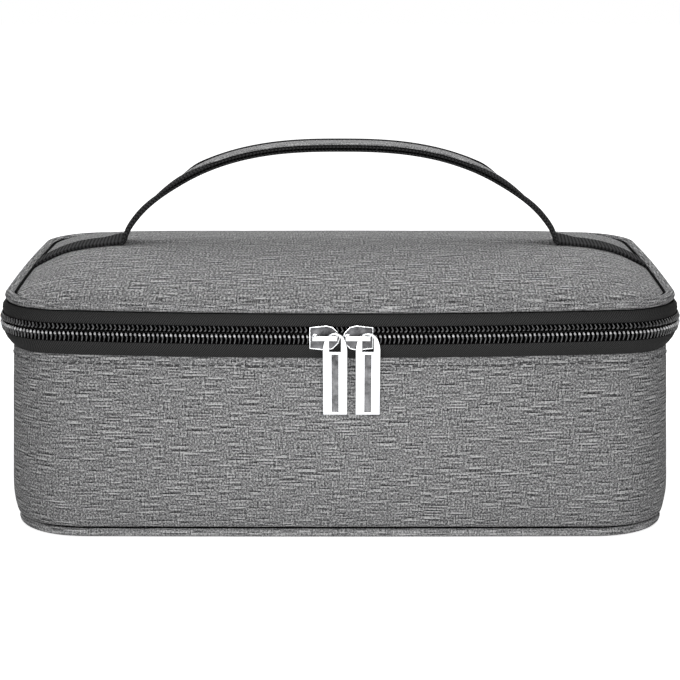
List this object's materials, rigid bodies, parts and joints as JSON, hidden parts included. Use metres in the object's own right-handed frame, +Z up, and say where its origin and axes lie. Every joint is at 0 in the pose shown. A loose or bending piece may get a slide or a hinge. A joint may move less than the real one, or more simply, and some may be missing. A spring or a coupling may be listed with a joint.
{
  "type": "insulated lunch bag",
  "caption": "Soft padded lunch box with a zip-round domed lid hinged at the back, a webbing carry handle on the lid and flat metal zipper pulls.",
  "frame": {"origin": "middle of the flat underside, where the bag stands", "axes": "+X to the right along the zipper front, +Y from the zipper front to the lid's hinge at the back, +Z up"},
  "size_m": [0.2894, 0.1935, 0.1529],
  "materials": {
    "grey_fabric": "matte melange weave",
    "black_tape": "matte woven tape",
    "black_coil": "semi-matte nylon",
    "black_webbing": "matte ribbed webbing",
    "white_foam": "matte closed-cell foam",
    "silver_foil": "satin foil laminate",
    "chrome": "polished plate"
  },
  "bodies": {
    "bag": {"base_panel": "grey_fabric", "base_foam": "white_foam", "base_piping": "grey_fabric", "body_wall": "grey_fabric", "body_foam": "white_foam", "lining_floor": "silver_foil", "body_lining": "silver_foil", "body_binding": "black_tape", "lower_tape": "black_tape", "lower_coil": "black_coil", "hinge_strip": "grey_fabric"},
    "lid": {"lid_panel": "grey_fabric", "lid_foam": "white_foam", "lid_lining": "silver_foil", "lid_piping": "grey_fabric", "lid_binding": "black_tape", "upper_tape": "black_tape", "upper_coil": "black_coil", "handle_anchor_left": "black_webbing", "handle_anchor_right": "black_webbing"},
    "handle": {"handle_webbing": "black_webbing", "handle_grip": "grey_fabric", "handle_tail_left": "black_webbing", "handle_tail_right": "black_webbing"},
    "left_slider": {"slider_left": "chrome"},
    "right_slider": {"slider_right": "chrome"},
    "left_pull": {"pull_left": "chrome"},
    "right_pull": {"pull_right": "chrome"}
  },
  "joints": [
    {"name": "lid_hinge", "type": "hinge", "parent": "bag", "child": "lid", "pos_m": [0, 0.0935, 0.0869], "axis": [-1, 0, 0], "range_deg": [0, 105], "deforming": ["hinge_strip"]},
    {"name": "handle_fold", "type": "hinge", "parent": "lid", "child": "handle", "pos_m": [0, 0.005, 0.1085], "axis": [1, 0, 0], "range_deg": [-63, 63], "deforming": ["handle_tail_left", "handle_tail_right"]},
    {"name": "left_slider_run", "type": "hinge", "parent": "bag", "child": "left_slider", "pos_m": [0, 0.805, 0.0864], "axis": [0, 0, 1], "range_deg": [-5.8, 0]},
    {"name": "right_slider_run", "type": "hinge", "parent": "bag", "child": "right_slider", "pos_m": [0, 0.805, 0.0864], "axis": [0, 0, 1], "range_deg": [0, 5.7]},
    {"name": "left_pull_swing", "type": "hinge", "parent": "left_slider", "child": "left_pull", "pos_m": [-0.00202, -0.09752, 0.0869], "axis": [-0.0067, -0.9902, -0.1392], "range_deg": [-40, 2.5]},
    {"name": "right_pull_swing", "type": "hinge", "parent": "right_slider", "child": "right_pull", "pos_m": [0.01132, -0.09746, 0.0869], "axis": [0.0079, -0.9902, -0.1392], "range_deg": [-2.5, 60]}
  ]
}
